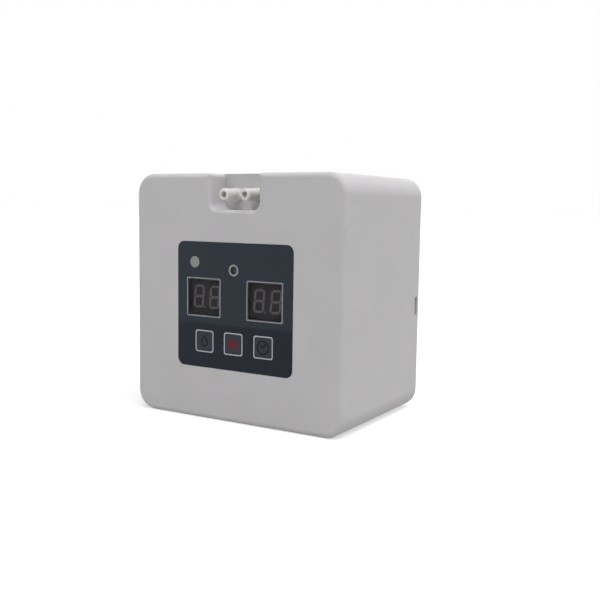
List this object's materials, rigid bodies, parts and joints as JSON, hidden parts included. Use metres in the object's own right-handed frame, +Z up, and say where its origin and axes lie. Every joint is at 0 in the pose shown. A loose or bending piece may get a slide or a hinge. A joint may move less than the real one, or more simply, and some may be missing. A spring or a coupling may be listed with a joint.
{
  "type": "watering timer",
  "caption": "Square table-top watering timer: moulded case with twin digit displays, press keys and a hose pocket, holding a battery-driven gear pump.",
  "frame": {"origin": "centre of the base, on the surface it stands on", "axes": "+Z up, the displays face -Y, +X to the right as seen from the front"},
  "size_m": [0.096, 0.066, 0.096],
  "materials": {
    "case_plastic": "fine satin moulding",
    "panel_gloss": "glossy dark blue grey",
    "window_smoke": "smoked clear",
    "lens_smoke": "smoked clear",
    "key_plastic": "satin dark grey",
    "black_plastic": "matte",
    "display_black": "matte",
    "segment_grey": "unlit",
    "lamp_clear": "milky",
    "board_green": "solder mask",
    "white_plastic": "satin",
    "nipple_plastic": "satin",
    "hose_silicone": "translucent milky",
    "steel": "bright",
    "motor_steel": "zinc plated",
    "magnet_grey": "ferrite",
    "copper": "enamelled copper",
    "bronze": "sintered bronze",
    "gear_nylon": "natural",
    "black_rubber": "matte",
    "capacitor_sleeve": "shrink sleeve",
    "tray_plastic": "satin dark grey",
    "cell_sleeve": "plain printed sleeve",
    "lead_sleeve": "red insulation"
  },
  "bodies": {
    "case": {"front_shell": "case_plastic", "control_panel": "panel_gloss", "display_window_left": "window_smoke", "display_window_right": "window_smoke", "indicator_lens": "lens_smoke", "switch_bodies": "black_plastic", "display_left": "display_black", "display_right": "display_black", "digits_left": "segment_grey", "digits_right": "segment_grey", "status_led": "lamp_clear", "led_spacer": "white_plastic", "circuit_board": "board_green", "board_screws": "steel", "controller_chip": "black_plastic", "board_capacitor": "capacitor_sleeve", "motor_connector": "white_plastic", "battery_connector": "white_plastic", "inlet_nipple": "nipple_plastic", "outlet_nipple": "nipple_plastic", "nipple_nuts": "nipple_plastic", "inlet_hose": "hose_silicone", "outlet_hose": "hose_silicone", "motor_can": "motor_steel", "motor_end_cap": "black_plastic", "motor_terminals": "bronze", "motor_magnets": "magnet_grey", "motor_bushes": "bronze", "idler_pin": "steel", "pump_body": "white_plastic", "shaft_seal": "black_rubber", "pump_gasket": "black_rubber", "pump_cover": "white_plastic", "pump_screws": "steel", "pump_clamp": "steel", "clamp_screws": "steel", "battery_tray": "tray_plastic", "tray_screws": "steel", "battery_cell_1": "cell_sleeve", "battery_cell_2": "cell_sleeve", "battery_cell_3": "cell_sleeve", "battery_cell_4": "cell_sleeve", "contact_plates": "steel", "contact_springs": "steel", "motor_leads": "lead_sleeve", "battery_leads": "lead_sleeve"},
    "water_key": {"key_water": "key_plastic", "plunger_water": "black_plastic"},
    "mode_key": {"key_mode": "key_plastic", "plunger_mode": "black_plastic"},
    "clock_key": {"key_clock": "key_plastic", "plunger_clock": "black_plastic"},
    "back_cover": {"rear_cover": "case_plastic"},
    "pump_rotor": {"motor_shaft": "steel", "armature_core": "motor_steel", "armature_windings": "copper", "commutator": "copper", "drive_gear": "gear_nylon"},
    "pump_idler": {"idler_gear": "gear_nylon"}
  },
  "joints": [
    {"name": "water_key_press", "type": "slide", "parent": "case", "child": "water_key", "axis": [0, 1, 0], "range_m": [0, 0.0004], "stiffness_N_per_m": 2000, "springref_m": -0.0004},
    {"name": "mode_key_press", "type": "slide", "parent": "case", "child": "mode_key", "axis": [0, 1, 0], "range_m": [0, 0.0004], "stiffness_N_per_m": 2000, "springref_m": -0.0004},
    {"name": "clock_key_press", "type": "slide", "parent": "case", "child": "clock_key", "axis": [0, 1, 0], "range_m": [0, 0.0004], "stiffness_N_per_m": 2000, "springref_m": -0.0004},
    {"name": "cover_pull", "type": "slide", "parent": "case", "child": "back_cover", "axis": [0, 1, 0], "range_m": [0, 0.03]},
    {"name": "rotor_spin", "type": "hinge", "parent": "case", "child": "pump_rotor", "pos_m": [0, -0.0086, 0.03], "axis": [0, 0, 1], "continuous": true},
    {"name": "idler_spin", "type": "hinge", "parent": "case", "child": "pump_idler", "pos_m": [0, -0.0006, 0.048], "axis": [0, 0, 1], "continuous": true}
  ],
  "couplings": [
    {"joint": "idler_spin", "follows": "rotor_spin", "ratio": -1}
  ]
}
